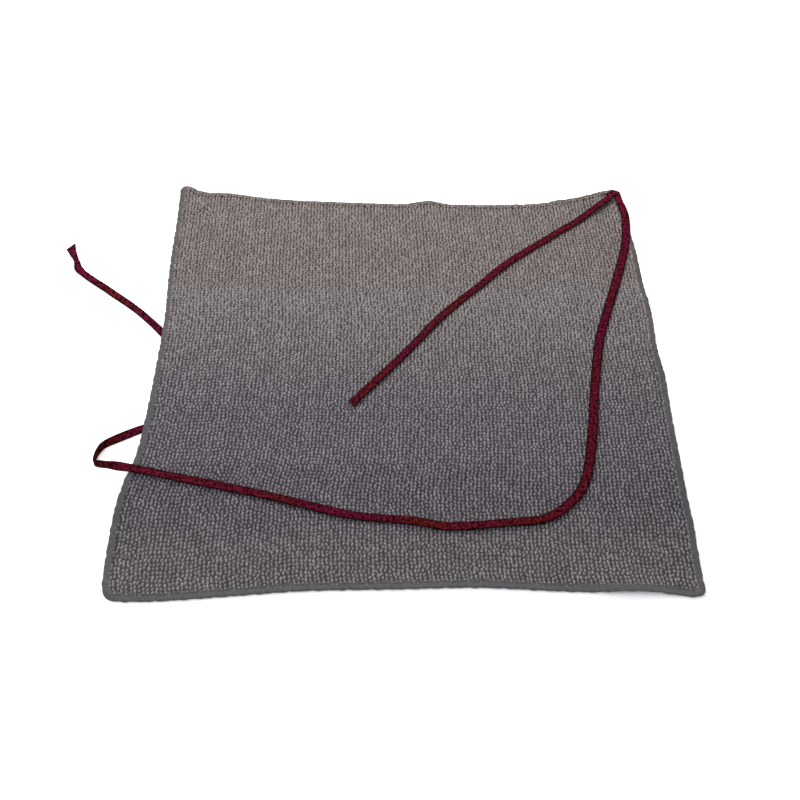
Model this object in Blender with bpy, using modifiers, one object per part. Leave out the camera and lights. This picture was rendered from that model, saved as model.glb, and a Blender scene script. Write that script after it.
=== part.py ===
"""A square golf towel: ribbed terry cloth, overlocked round its edge, with a flat tie tape sewn to one corner.

Lengths are in metres. +X runs to the right along the towel's near edge, +Y away from it and +Z up.
The origin is the middle of the towel's footprint, on the surface that the towel lies on.
"""

import math

import bmesh
import bpy
from mathutils import Matrix, Vector

# The towel, as it is cut
TOWEL_WIDTH = 0.410  # over the edging, along X
TOWEL_DEPTH = 0.406  # over the edging, along Y
PILE_HEIGHT = 0.0030  # ground cloth and loops together
GROUND_THICKNESS = 0.0011  # the bare ground cloth at the rim, where the loops are trimmed off
CORNER_RADIUS = 0.008

# How far the tight edging draws the middle of each side in
TOP_BOW = 0.019
BOTTOM_BOW = 0.008
LEFT_BOW = 0.009
RIGHT_BOW = 0.001

# The overlocked edging: thread wrapped over the rim, round its edge and back under it
EDGING_WIDTH = 0.005
EDGING_WALL = 0.0006
CLEARANCE = 0.0003  # between pieces that touch on the real towel
PILE_SLOPE = 0.001  # where the loops begin, beside the edging

# The tie tape and the tack that sews it on
TAPE_WIDTH = 0.0066
TAPE_THICKNESS = 0.0008
TACK_PAST_EDGING = (0.0025, 0.0075)  # from the inner lines of the corner's two edgings to the tack
FIXED_SHORT = 0.008  # sewn-down tape, from the tack to where the short tail bends freely
FIXED_LONG = 0.014  # the same on the long tail's side
SHORT_HEADING = math.radians(222)  # the way each tail leaves the tack, counterclockwise from +X
LONG_HEADING = math.radians(276)
LAYER_BITE = 0.00005  # how far the fold's two layers run into each other, as they are one piece
TACK_LENGTH = 0.003  # between the tack's two legs
TACK_THREAD = 0.0007  # diameter of the bundle of thread

# How the cloth lies: it rises over the tape that passes under its left edge, and at the sewn corner
TUNNEL_RISE = 0.0014
TUNNEL_INNER = 0.062  # from the left edge to the inner end of the risen place
TUNNEL_NEAR = -0.092  # its two ends, along Y
TUNNEL_FAR = 0.058
TUNNEL_SLOPE = 0.028
TACK_RISE = 0.0014
TACK_PLATEAU = 0.024
TACK_SLOPE = 0.030

# How closely the tape lies on the cloth and on the floor
TAPE_GAP = 0.0005
FLOOR_GAP = 0.00005

# Fineness of the solids
CLOTH_CELL = 0.020
ROUTE_STEP = 0.016

# ---------------------------------------------------------------- where the cloth lies


def bowed(x, y):
    """A place on the flat cut, moved to where it lies once the corners are round and the sides are drawn in."""
    over_x = abs(x) - (TOWEL_WIDTH / 2 - CORNER_RADIUS)
    over_y = abs(y) - (TOWEL_DEPTH / 2 - CORNER_RADIUS)
    if over_x > 0 and over_y > 0:
        squeeze = 1 - max(over_x, over_y) / math.hypot(over_x, over_y)
        x -= math.copysign(over_x * squeeze, x)
        y -= math.copysign(over_y * squeeze, y)
    u = x / (TOWEL_WIDTH / 2)
    v = y / (TOWEL_DEPTH / 2)
    x += (1 - u) / 2 * LEFT_BOW * (1 - v * v) ** 2 - (1 + u) / 2 * RIGHT_BOW * (1 - v * v)
    y += (1 - v) / 2 * BOTTOM_BOW * (1 - u**4) - (1 + v) / 2 * TOP_BOW * (1 - u**4)
    return x, y


def middle_of_footprint():
    """The middle of the outline's box, which the bowed sides leave a little off the cut's own middle."""
    steps = [-1 + i / 100 for i in range(201)]
    half_x, half_y = TOWEL_WIDTH / 2, TOWEL_DEPTH / 2
    rim = [bowed(side * half_x, s * half_y) for s in steps for side in (-1, 1)]
    rim += [bowed(s * half_x, side * half_y) for s in steps for side in (-1, 1)]
    return Vector([(min(p[axis] for p in rim) + max(p[axis] for p in rim)) / 2 for axis in (0, 1)])


MIDDLE = middle_of_footprint()

EDGING_HEIGHT = GROUND_THICKNESS + 2 * CLEARANCE + 2 * EDGING_WALL
THICKEST = max(PILE_HEIGHT, EDGING_HEIGHT)  # what the tape lies on
LEFT_EDGE = -TOWEL_WIDTH / 2 - MIDDLE.x
CORNER = Vector((TOWEL_WIDTH / 2, TOWEL_DEPTH / 2)) - MIDDLE
TACK = CORNER - Vector([EDGING_WIDTH + past for past in TACK_PAST_EDGING])
SHORT_DIRECTION = Vector((math.cos(SHORT_HEADING), math.sin(SHORT_HEADING)))
LONG_DIRECTION = Vector((math.cos(LONG_HEADING), math.sin(LONG_HEADING)))
SWING_POINT = TACK + FIXED_SHORT * SHORT_DIRECTION

# The tape's layers over the sewn corner, as heights of their undersides
LOWER_LAYER = TACK_RISE + THICKEST + CLEARANCE
UPPER_LAYER = LOWER_LAYER + TAPE_THICKNESS
TAIL_LAYER = UPPER_LAYER + TAPE_THICKNESS + CLEARANCE

# The height of the tape's middle on the floor, lying flat and standing on its edge, and on level cloth
ON_FLOOR = TAPE_THICKNESS / 2 + FLOOR_GAP
ON_EDGE = TAPE_WIDTH / 2 + FLOOR_GAP
OVER_CLOTH = THICKEST + TAPE_GAP + TAPE_THICKNESS / 2


def fall(distance, slope):
    """1 at no distance, easing to 0 over the slope."""
    t = min(max(distance / slope, 0), 1)
    return 1 - t * t * (3 - 2 * t)


def rise(x, y):
    """How far the cloth's underside is off the floor at a place."""
    past_end = max(TUNNEL_NEAR - y, y - TUNNEL_FAR, 0)
    past_inner = max(x - LEFT_EDGE - TUNNEL_INNER, 0)
    tunnel = TUNNEL_RISE * fall(math.hypot(past_end, past_inner), TUNNEL_SLOPE)
    from_tack = (Vector((x, y)) - TACK).length
    return tunnel + TACK_RISE * fall(from_tack - TACK_PLATEAU, TACK_SLOPE)


def laid(x, y, height):
    """A place on the flat cut, and a height in the cloth, as a point of the towel where it lies."""
    x, y = Vector(bowed(x, y)) - MIDDLE
    return Vector((x, y, height + rise(x, y)))


# ---------------------------------------------------------------- making objects


def collection(name):
    made = bpy.data.collections.new(name)
    bpy.context.scene.collection.children.link(made)
    return made


def linear(channel):
    return channel / 12.92 if channel <= 0.04045 else ((channel + 0.055) / 1.055) ** 2.4


def material(name, colour, roughness):
    """A plain Principled finish. The colour is an sRGB hex number."""
    made = bpy.data.materials.new(name)
    made.use_nodes = True
    shader = made.node_tree.nodes["Principled BSDF"]
    red, green, blue = ((colour >> shift & 255) / 255 for shift in (16, 8, 0))
    shader.inputs["Base Color"].default_value = (linear(red), linear(green), linear(blue), 1)
    shader.inputs["Roughness"].default_value = roughness
    shader.inputs["Metallic"].default_value = 0
    return made


def add_object(name, data, where, finish=None):
    made = bpy.data.objects.new(name, data)
    where.objects.link(made)
    if finish:
        data.materials.append(finish)
    return made


def mesh_from(bm, name):
    mesh = bpy.data.meshes.new(name)
    bm.to_mesh(mesh)
    bm.free()
    return mesh


def grid(columns, rows):
    """A flat grid of cells, and the (column, row) number of each of its vertices."""
    bm = bmesh.new()
    bmesh.ops.create_grid(bm, x_segments=columns - 1, y_segments=rows - 1, size=1)
    numbers = {
        vert: (round((vert.co.x + 1) / 2 * (columns - 1)), round((vert.co.y + 1) / 2 * (rows - 1)))
        for vert in bm.verts
    }
    return bm, numbers


# ---------------------------------------------------------------- the cloth and its edging


def lines(length, edge):
    """Places across the cut where its mesh has a line: close at the rim, even between. edge is the outermost."""
    seam = EDGING_WIDTH + CLEARANCE
    rim = [edge, (edge + seam) / 2, seam]
    inner = length / 2 - seam - PILE_SLOPE
    count = round(2 * inner / CLOTH_CELL)
    middle = [-inner + 2 * inner * i / count for i in range(count + 1)]
    return [inset - length / 2 for inset in rim] + middle + [length / 2 - inset for inset in reversed(rim)]


def make_cloth(where):
    """The terry: full height inside, and at the rim a thin tongue of ground cloth that the edging wraps."""
    across = lines(TOWEL_WIDTH, EDGING_HEIGHT / 2)
    along = lines(TOWEL_DEPTH, EDGING_HEIGHT / 2)
    bm, numbers = grid(len(across), len(along))
    places = {vert: (across[i], along[j]) for vert, (i, j) in numbers.items()}
    for vert, (x, y) in places.items():
        vert.co = (x, y, 0)
    extruded = bmesh.ops.extrude_face_region(bm, geom=bm.faces[:])
    upper = {item for item in extruded["geom"] if isinstance(item, bmesh.types.BMVert)}
    rim_under = (EDGING_HEIGHT - GROUND_THICKNESS) / 2
    for vert in bm.verts:
        x, y = vert.co.x, vert.co.y
        inset = min(TOWEL_WIDTH / 2 - abs(x), TOWEL_DEPTH / 2 - abs(y))
        on_rim = inset < EDGING_WIDTH + CLEARANCE + PILE_SLOPE / 2
        low, high = (rim_under, rim_under + GROUND_THICKNESS) if on_rim else (0, PILE_HEIGHT)
        vert.co = laid(x, y, high if vert in upper else low)
    bmesh.ops.recalc_face_normals(bm, faces=bm.faces[:])
    finish = material("grey terry", 0x726E70, 0.95)
    return add_object("towel_cloth", mesh_from(bm, "towel_cloth"), where, finish)


def edging_section():
    """The middle of the edging's wall, as (inset, height) from the top flange's end round to the lower one's."""
    nose = EDGING_HEIGHT / 2
    radius = nose - EDGING_WALL / 2
    turns = [math.radians(45 * i) for i in range(5)]
    arc = [(nose - radius * math.sin(turn), nose + radius * math.cos(turn)) for turn in turns]
    return [(EDGING_WIDTH, arc[0][1])] + arc + [(EDGING_WIDTH, arc[-1][1])]


def make_edging(name, side, where, finish):
    """One side's run of thread. The left and right runs go right to the corners, and the others butt on them."""
    section = edging_section()
    upright = side in ("left", "right")
    sign = 1 if side in ("right", "top") else -1
    width, length = (TOWEL_WIDTH, TOWEL_DEPTH) if upright else (TOWEL_DEPTH, TOWEL_WIDTH)
    run = lines(length, 0 if upright else EDGING_HEIGHT / 2)
    if not upright:
        end = TOWEL_WIDTH / 2 - EDGING_WIDTH - CLEARANCE
        run = [place for place in run if abs(place) < end + CLEARANCE / 2]
    bm, numbers = grid(len(run), len(section))
    for vert, (i, j) in numbers.items():
        inset, height = section[j]
        out = sign * (width / 2 - inset)
        vert.co = laid(out, run[i], height) if upright else laid(run[i], out, height)
    made = add_object(name, mesh_from(bm, name), where, finish)
    wall = made.modifiers.new("thread wall", "SOLIDIFY")
    wall.thickness = EDGING_WALL
    wall.offset = 0
    wall.use_even_offset = True
    return made


# ---------------------------------------------------------------- the tie tape


def smooth(points, step):
    """Points on a smooth curve through the given ones, each (x, y, z, roll), about a step apart."""
    points = [Vector(point) for point in points]
    gaps = [(b.xyz - a.xyz).length for a, b in zip(points, points[1:])]
    slopes = [(points[1] - points[0]) / gaps[0]]
    for i in range(1, len(points) - 1):
        slopes.append((points[i + 1] - points[i - 1]) / (gaps[i - 1] + gaps[i]))
    slopes.append((points[-1] - points[-2]) / gaps[-1])
    curve = [points[0]]
    for i, gap in enumerate(gaps):
        count = max(round(gap / step), 1)
        for k in range(1, count + 1):
            t = k / count
            start = points[i] * (2 * t**3 - 3 * t**2 + 1) + slopes[i] * (gap * (t**3 - 2 * t**2 + t))
            end = points[i + 1] * (3 * t**2 - 2 * t**3) + slopes[i + 1] * (gap * (t**3 - t**2))
            curve.append(start + end)
    return curve


def make_tape(name, route, where, finish):
    """A length of flat tape along a route of (x, y, z, roll). Roll is in degrees, and 0 lies flat."""
    points = smooth(route, ROUTE_STEP)
    curve = bpy.data.curves.new(name, "CURVE")
    curve.dimensions = "3D"
    curve.twist_mode = "Z_UP"
    curve.extrude = (TAPE_WIDTH - TAPE_THICKNESS) / 2
    curve.bevel_depth = TAPE_THICKNESS / 2
    curve.bevel_resolution = 2
    curve.use_fill_caps = True
    spline = curve.splines.new("POLY")
    spline.points.add(len(points) - 1)
    for point, (x, y, z, roll) in zip(spline.points, points):
        point.co = (x, y, z, 1)
        point.tilt = math.radians(90 + roll)
    return add_object(name, curve, where, finish)


def on_cloth(x, y):
    """The height of the tape's middle where it lies on the cloth."""
    return OVER_CLOTH + rise(x, y)


def short_route():
    """From the swing point, down off the sewn layers and diagonally over the towel to the cut end."""
    start = SWING_POINT + 0.0004 * SHORT_DIRECTION
    high = TAIL_LAYER + TAPE_THICKNESS / 2
    route = [(start.x, start.y, high, 0)]
    for along in (0.008, 0.016):
        place = SWING_POINT + along * SHORT_DIRECTION
        route.append((place.x, place.y, high, 0))
    # Offsets from the towel's corner, in millimetres
    for x, y in (
        (-49, -48), (-65, -60), (-80, -71.5), (-95, -83), (-110, -95), (-125, -109), (-139, -124),
        (-154, -138.5), (-168, -153), (-181, -168), (-194, -185), (-207, -201.5), (-220, -217), (-245, -246.5),
    ):
        place = CORNER + Vector((x, y)) / 1000
        route.append((place.x, place.y, on_cloth(place.x, place.y), 0))
    return route


def long_route():
    """Down the right side, round over the near part, over the left edge, back under it and out again."""
    start = TACK + (FIXED_LONG + CLEARANCE) * LONG_DIRECTION
    onward = TACK + Vector((3.1, -27.5)) / 1000
    route = [
        (start.x, start.y, LOWER_LAYER + TAPE_THICKNESS / 2, 0),
        (onward.x, onward.y, on_cloth(onward.x, onward.y), 0),
    ]
    # Offsets from the towel's corner, in millimetres
    for x, y in (
        (-5.2, -55), (-9.2, -77), (-18, -105.5), (-37.4, -159.5), (-46, -185), (-56.2, -234), (-64, -279),
        (-74.8, -319), (-90.2, -337.5), (-106.5, -347), (-129, -349.5), (-174.5, -352.6), (-197, -348.4),
    ):
        place = CORNER + Vector((x, y)) / 1000
        route.append((place.x, place.y, on_cloth(place.x, place.y), 0))
    # Offsets from the left edge's line and from the origin, in millimetres
    for x, y in ((167, -139.6), (110, -124.4), (75, -116), (40, -108.4), (9, -101.4)):
        x, y = LEFT_EDGE + x / 1000, y / 1000
        route.append((x, y, on_cloth(x, y), 0))
    over_edge = on_cloth(LEFT_EDGE, -0.0985)
    for x, y, height, roll in (
        (-4, -98.9, over_edge * 0.92, -22),
        (-12, -97.2, ON_EDGE + 0.0004, -62),
        (-18.9, -96, ON_EDGE, -66),
        (-22.9, -95.2, ON_EDGE, -76),
        (-23.7, -94.4, ON_EDGE, -85),
        (-23, -87, ON_EDGE, -94),
        (-19.8, -80.4, 0.0034, -110),
        (-12.8, -75, 0.0029, -132),
        (4.2, -64.8, 0.0013, -165),
        (10.2, -61.2, ON_FLOOR, -180),
        (30, -49, ON_FLOOR, -180),
        (36.5, -30, ON_FLOOR, -180),
        (21, 13.5, ON_FLOOR, -180),
        (-9, 48.8, ON_FLOOR, -180),
        (-45, 78.5, ON_FLOOR, -180),
        (-65, 93.9, ON_FLOOR, -180),
        (-74.6, 102.8, 0.0011, -170),
        (-77.3, 110.3, 0.0018, -156),
        (-83, 120.8, 0.0014, -164),
        (-87, 130, 0.0009, -174),
    ):
        route.append((LEFT_EDGE + x / 1000, y / 1000, height, roll))
    return route


def make_arm(name, end, low, thickness, square_end, where, finish=None):
    """A flat plate of tape from the tack to its end: half-round about the tack, and square or half-round at the end."""
    bm = bmesh.new()
    along = (end - TACK).normalized() * TAPE_WIDTH / 2
    across = Vector((-along.y, along.x))
    corners = []
    for height in (low, low + thickness):
        for centre in (TACK,) if square_end else (TACK, end):
            place = Matrix.Translation((centre.x, centre.y, height))
            corners += bmesh.ops.create_circle(bm, segments=24, radius=TAPE_WIDTH / 2, matrix=place)["verts"]
        if square_end:
            corners += [bm.verts.new((*(end + side * across), height)) for side in (-1, 1)]
    hull = bmesh.ops.convex_hull(bm, input=corners)
    inside = {item for key in ("geom_interior", "geom_unused") for item in hull[key]}
    bmesh.ops.delete(bm, geom=[item for item in inside if isinstance(item, bmesh.types.BMVert)])
    bmesh.ops.delete(bm, geom=[edge for edge in bm.edges if not edge.link_faces], context="EDGES")
    bmesh.ops.recalc_face_normals(bm, faces=bm.faces[:])
    return add_object(name, mesh_from(bm, name), where, finish)


def make_fold(where, spare, holes, finish):
    """The middle of the tape, folded to a point over the corner: one arm towards each tail, the short one on top."""
    long_end = TACK + FIXED_LONG * LONG_DIRECTION
    fold = make_arm("tape_fold", long_end, LOWER_LAYER, TAPE_THICKNESS, True, where, finish)
    bite = UPPER_LAYER - LAYER_BITE
    short_arm = make_arm("short_arm", SWING_POINT, bite, TAPE_THICKNESS + LAYER_BITE, False, spare)
    hide(short_arm)
    join = fold.modifiers.new("short arm", "BOOLEAN")
    join.operation = "UNION"
    join.object = short_arm
    for hole in holes:
        cut(fold, hole)
    return fold


# ---------------------------------------------------------------- the tack


def hide(tool):
    tool.hide_render = True
    tool.display_type = "WIRE"


def cut(piece, tool):
    hole = piece.modifiers.new(tool.name, "BOOLEAN")
    hole.operation = "DIFFERENCE"
    hole.object = tool


def tack_legs():
    """Where the tack's two legs go through, on either side of the tack point and across the short arm."""
    across = Vector((-SHORT_DIRECTION.y, SHORT_DIRECTION.x)) * TACK_LENGTH / 2
    return TACK - across, TACK + across


def make_needle_holes(spare):
    """The holes that the tack's legs pass through, in the cloth and in both layers of tape."""
    made = []
    for number, leg in enumerate(tack_legs(), 1):
        bm = bmesh.new()
        bmesh.ops.create_cone(
            bm,
            cap_ends=True,
            segments=16,
            radius1=TACK_THREAD / 2 + CLEARANCE,
            radius2=TACK_THREAD / 2 + CLEARANCE,
            depth=4 * PILE_HEIGHT,
            matrix=Matrix.Translation((leg.x, leg.y, PILE_HEIGHT)),
        )
        tool = add_object(f"needle_hole_{number}", mesh_from(bm, "needle hole"), spare)
        hide(tool)
        made.append(tool)
    return made


def make_tack(where):
    """One closed loop of gathered thread: over the tape, down, under the cloth and up again."""
    radius = TACK_THREAD / 2
    low = TACK_RISE - CLEARANCE - radius
    high = UPPER_LAYER + TAPE_THICKNESS + CLEARANCE + radius
    first, last = tack_legs()
    bend = 0.0006
    inward = (last - first).normalized() * bend
    corners = [
        (first + inward, low), (last - inward, low), (last, low + bend),
        (last, high - bend), (last - inward, high), (first + inward, high),
        (first, high - bend), (first, low + bend),
    ]
    curve = bpy.data.curves.new("bar_tack", "CURVE")
    curve.dimensions = "3D"
    curve.bevel_depth = radius
    curve.bevel_resolution = 2
    spline = curve.splines.new("POLY")
    spline.points.add(len(corners) - 1)
    for point, (place, height) in zip(spline.points, corners):
        point.co = (place.x, place.y, height, 1)
    spline.use_cyclic_u = True
    return add_object("bar_tack", curve, where, material("maroon thread", 0x3C0A12, 0.6))


# ---------------------------------------------------------------- the towel


def clear_scene():
    for item in list(bpy.data.objects):
        bpy.data.objects.remove(item, do_unlink=True)


def main():
    clear_scene()
    towel = collection("golf_towel")
    spare = collection("cutters")
    holes = make_needle_holes(spare)
    cloth = make_cloth(towel)
    for hole in holes:
        cut(cloth, hole)
    thread = material("grey overlock thread", 0x6F706C, 0.7)
    for side in ("left", "right", "top", "bottom"):
        make_edging("overlock_" + side, side, towel, thread)
    tape = material("maroon twill tape", 0x5A0F22, 0.6)
    make_fold(towel, spare, holes, tape)
    make_tack(towel)
    make_tape("short_tail", short_route(), towel, tape)
    make_tape("long_tail", long_route(), towel, tape)


main()
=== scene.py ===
"""The looks of a square golf towel: ribbed terry with overlocked edges, and a maroon tie tape on one corner.

Lengths are in metres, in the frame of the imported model: +X to the right along the near edge, +Y away, +Z up.
"""

import math
import random

import bmesh
import bpy
import numpy as np
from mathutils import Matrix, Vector


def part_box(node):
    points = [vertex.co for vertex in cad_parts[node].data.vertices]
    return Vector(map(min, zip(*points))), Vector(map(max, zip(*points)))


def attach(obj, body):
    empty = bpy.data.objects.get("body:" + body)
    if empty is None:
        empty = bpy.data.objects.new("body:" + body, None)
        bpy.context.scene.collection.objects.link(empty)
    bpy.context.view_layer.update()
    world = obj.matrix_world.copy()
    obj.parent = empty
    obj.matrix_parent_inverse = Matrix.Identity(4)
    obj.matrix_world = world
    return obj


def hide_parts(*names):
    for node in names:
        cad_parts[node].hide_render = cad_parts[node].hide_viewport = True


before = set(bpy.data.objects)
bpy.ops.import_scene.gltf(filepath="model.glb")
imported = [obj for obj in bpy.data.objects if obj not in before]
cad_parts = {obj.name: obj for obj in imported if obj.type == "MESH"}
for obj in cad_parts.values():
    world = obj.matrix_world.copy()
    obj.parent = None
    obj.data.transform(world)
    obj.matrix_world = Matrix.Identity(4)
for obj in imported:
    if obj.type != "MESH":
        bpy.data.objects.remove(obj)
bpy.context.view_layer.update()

MM = 0.001

# The towel, as it is cut, and how thick it is
WIDTH = 0.410
DEPTH = 0.406
CORNER_RADIUS = 0.008
PILE_HEIGHT = 0.0030
GROUND_LOW = 0.0009
GROUND_HIGH = 0.0020
GROUND_INSET = 0.0012

# The terry's loops: one column of them along each rib, with their feet sunk in the ground
RIB_PITCH = 0.0029
ROW_PITCH = 0.0031
LOOP_LENGTH = 0.0024
LOOP_WIDTH = 0.0023
PILE_INSET = 0.0034
FAR_PILE_INSET = 0.0018
FACE_FEET = GROUND_HIGH - 0.0011
BACK_FEET = GROUND_LOW + 0.0009
OVER_EDGING = 0.0004

# The overlocked edging
EDGING_WIDTH = 0.005
EDGING_HEIGHT = 0.0029
OVERLOCK_PITCH = 0.00085
OVERLOCK_THREAD = 0.00075
CHAIN_PITCH = 0.0026
CHAIN_INSET = EDGING_WIDTH - 0.0004
BED_STEP = 0.0025

# The tie tape
TAPE_WIDTH = 0.0066
TAPE_THICKNESS = 0.0008
TWILL_PITCH = 0.0016
TACK_INSET = Vector((EDGING_WIDTH + 0.0025, EDGING_WIDTH + 0.0075))
FIXED_SHORT = 0.008
FIXED_LONG = 0.014
SHORT_HEADING = math.radians(222)
LONG_HEADING = math.radians(276)
CLEARANCE = 0.0003
FOLD_REACH = 0.0022
FRAY_RADIUS = 0.00014
TACK_HALF_WIDTH = 0.0026
TACK_PITCH = 0.00042

# The sewn corner and the swing point, where the model has them
tack_low, tack_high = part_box("bar_tack")
TACK = ((tack_low + tack_high) / 2).xy
CORNER = TACK + TACK_INSET
LEFT_EDGE = CORNER.x - WIDTH
SHORT_DIRECTION = Vector((math.cos(SHORT_HEADING), math.sin(SHORT_HEADING)))
LONG_DIRECTION = Vector((math.cos(LONG_HEADING), math.sin(LONG_HEADING)))
SWING_POINT = TACK + FIXED_SHORT * SHORT_DIRECTION

# How the cloth rises over the tape that passes under it, and at the sewn corner
TUNNEL_RISE = 0.0014
TUNNEL_INNER = 0.062
TUNNEL_NEAR = -0.092
TUNNEL_FAR = 0.058
TUNNEL_SLOPE = 0.028
TACK_RISE = 0.0014
TACK_PLATEAU = 0.024
TACK_SLOPE = 0.030
CURLED_CORNER = (-0.203, 0.202)
CURL_RISE = 0.0042
CURL_SLOPE = 0.050
ARCH = (0.156, -0.200)
ARCH_RISE = 0.0036
ARCH_LENGTH = 0.036
ARCH_DEPTH = 0.026

# The tape's heights: its layers' undersides at the sewn corner, and its middle elsewhere
LOWER_LAYER = TACK_RISE + PILE_HEIGHT + CLEARANCE
UPPER_LAYER = LOWER_LAYER + TAPE_THICKNESS
TAIL_LAYER = UPPER_LAYER + TAPE_THICKNESS + CLEARANCE
ON_FLOOR = 0.00045
ON_EDGE = 0.00335
OVER_CLOTH = 0.0039


# ---------------------------------------- making objects


def add_object(name, data, finish=None):
    made = bpy.data.objects.new(name, data)
    bpy.context.scene.collection.objects.link(made)
    if finish:
        data.materials.append(finish)
    return made


def mesh_of(name, points, faces, smooth=True):
    """A mesh from its points and faces, with its faces turned outwards."""
    mesh = bpy.data.meshes.new(name)
    mesh.from_pydata([tuple(point) for point in points], [], faces)
    bm = bmesh.new()
    bm.from_mesh(mesh)
    bmesh.ops.recalc_face_normals(bm, faces=bm.faces[:])
    bm.to_mesh(mesh)
    bm.free()
    if smooth:
        mesh.shade_smooth()
    return mesh


def store(mesh, name, kind, values):
    """Gives each point of a mesh a named value, for its material to read."""
    attribute = mesh.attributes.new(name, kind, "POINT")
    key = "vector" if kind == "FLOAT_VECTOR" else "value"
    attribute.data.foreach_set(key, np.asarray(values, np.float32).ravel())


def made_plain(made):
    """Turns an object's evaluated shape into its plain mesh, and takes its modifiers off."""
    graph = bpy.context.evaluated_depsgraph_get()
    mesh = bpy.data.meshes.new_from_object(made.evaluated_get(graph))
    if made.type == "MESH":
        made.modifiers.clear()
        made.data = mesh
        return made
    name = made.name
    bpy.data.objects.remove(made)
    return add_object(name, mesh)


# ---------------------------------------- finishes


def linear(hex_colour):
    """An sRGB hex number as linear red, green, blue and alpha."""
    channels = [(hex_colour >> shift & 255) / 255 for shift in (16, 8, 0)]
    return (*[c / 12.92 if c <= 0.04045 else ((c + 0.055) / 1.055) ** 2.4 for c in channels], 1)


def add(tree, kind, inputs=None, **settings):
    """Adds a node. An input that is given a socket is linked to it, and any other value is set."""
    node = tree.nodes.new(kind)
    for key, value in settings.items():
        setattr(node, key, value)
    for key, value in (inputs or {}).items():
        if isinstance(value, bpy.types.NodeSocket):
            tree.links.new(value, node.inputs[key])
        else:
            node.inputs[key].default_value = value
    return node


def new_finish(name, roughness, sheen, sheen_roughness, sheen_tint=0xFFFFFF):
    """A cloth finish with its constants set on the shader's own sockets."""
    material = bpy.data.materials.new(name)
    material.use_nodes = True
    shader = material.node_tree.nodes["Principled BSDF"]
    shader.inputs["Roughness"].default_value = roughness
    shader.inputs["IOR"].default_value = 1.46
    shader.inputs["Specular IOR Level"].default_value = 0.25
    shader.inputs["Sheen Weight"].default_value = sheen
    shader.inputs["Sheen Roughness"].default_value = sheen_roughness
    shader.inputs["Sheen Tint"].default_value = linear(sheen_tint)
    return material, material.node_tree, shader


# The tint of the nap at places along Y, up to its reach each way from the middle. It lies in five bands, as on
# a towel that was packed folded, and it is also painted light and shade: paler and warmer far off, darker and
# cooler nearer
NAP_REACH = 0.21
NAP_AND_PAINTED_LIGHT = (
    (-0.200, (0.98, 0.965, 1.0)), (-0.165, (0.96, 0.95, 1.0)), (-0.140, (0.825, 0.82, 0.905)),
    (-0.108, (0.805, 0.79, 0.89)), (-0.095, (0.88, 0.865, 0.965)), (-0.018, (0.91, 0.90, 0.98)),
    (0.005, (0.94, 0.915, 0.945)), (0.078, (0.96, 0.925, 0.95)), (0.090, (0.94, 0.87, 0.85)),
    (0.200, (0.95, 0.88, 0.86)),
)


def nap_tint_and_painted_light(tree, place):
    """The nap's own tint and painted light and shade: pale and warm at the far edge, cool and dark nearer,
    then paler again.
    """
    # The lines between the bands wander by up to about 10 mm, in waves 90 mm long
    wander = add(tree, "ShaderNodeTexNoise", {"Vector": place, "Scale": 1 / 0.090, "Detail": 3.0})
    shift = add(
        tree, "ShaderNodeMath", {0: wander.outputs["Fac"], 1: 0.05, 2: -0.025}, operation="MULTIPLY_ADD"
    )
    along = add(tree, "ShaderNodeSeparateXYZ", {0: place})
    warped = add(tree, "ShaderNodeMath", {0: along.outputs["Y"], 1: shift.outputs[0]}, operation="ADD")
    share = add(
        tree,
        "ShaderNodeMapRange",
        {"Value": warped.outputs[0], "From Min": -NAP_REACH, "From Max": NAP_REACH},
    )
    bands = add(tree, "ShaderNodeValToRGB", {"Fac": share.outputs[0]})
    ramp = bands.color_ramp.elements
    for number, (y, colour) in enumerate(NAP_AND_PAINTED_LIGHT):
        stop = ramp[number] if number < 2 else ramp.new(1.0)
        stop.position = (y + NAP_REACH) / (2 * NAP_REACH)
        stop.color = (*colour, 1)
    # Smaller brushed patches, 14 mm across
    patch = add(tree, "ShaderNodeTexNoise", {"Vector": place, "Scale": 1 / 0.014, "Detail": 1.0})
    small = add(
        tree,
        "ShaderNodeMapRange",
        {"Value": patch.outputs["Fac"], "From Min": 0.3, "From Max": 0.7, "To Min": 0.93, "To Max": 1.06},
    )
    return add(
        tree, "ShaderNodeVectorMath", {0: bands.outputs[0], "Scale": small.outputs[0]}, operation="SCALE"
    ).outputs[0]


def tinted(tree, colour, tint):
    return add(tree, "ShaderNodeVectorMath", {0: colour, 1: tint}, operation="MULTIPLY").outputs[0]


def microfibre_terry():
    """Grey microfibre loops: matt, a little fuzzy at a low angle, each its own shade, a brushed nap and
    painted light.
    """
    material, tree, shader = new_finish("microfibre_terry", 0.95, 0.12, 0.5)
    place = add(tree, "ShaderNodeTexCoord").outputs["Object"]
    tone = add(tree, "ShaderNodeAttribute", attribute_name="tone").outputs["Fac"]
    yarn = add(tree, "ShaderNodeMix", {0: tone, 6: linear(0x5C5959), 7: linear(0x726F6D)}, data_type="RGBA")
    # The yarn takes the nap's tint, which is partly painted light and shade along Y
    tree.links.new(tinted(tree, yarn.outputs[2], nap_tint_and_painted_light(tree, place)), shader.inputs["Base Color"])
    # Split fibres, drawn 0.35 mm apart so that they show
    fibre = add(tree, "ShaderNodeTexNoise", {"Vector": place, "Scale": 1 / 0.00035, "Detail": 3.0})
    bump = add(tree, "ShaderNodeBump", {"Height": fibre.outputs["Fac"], "Strength": 0.6, "Distance": 0.0003})
    tree.links.new(bump.outputs[0], shader.inputs["Normal"])
    return material


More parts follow.
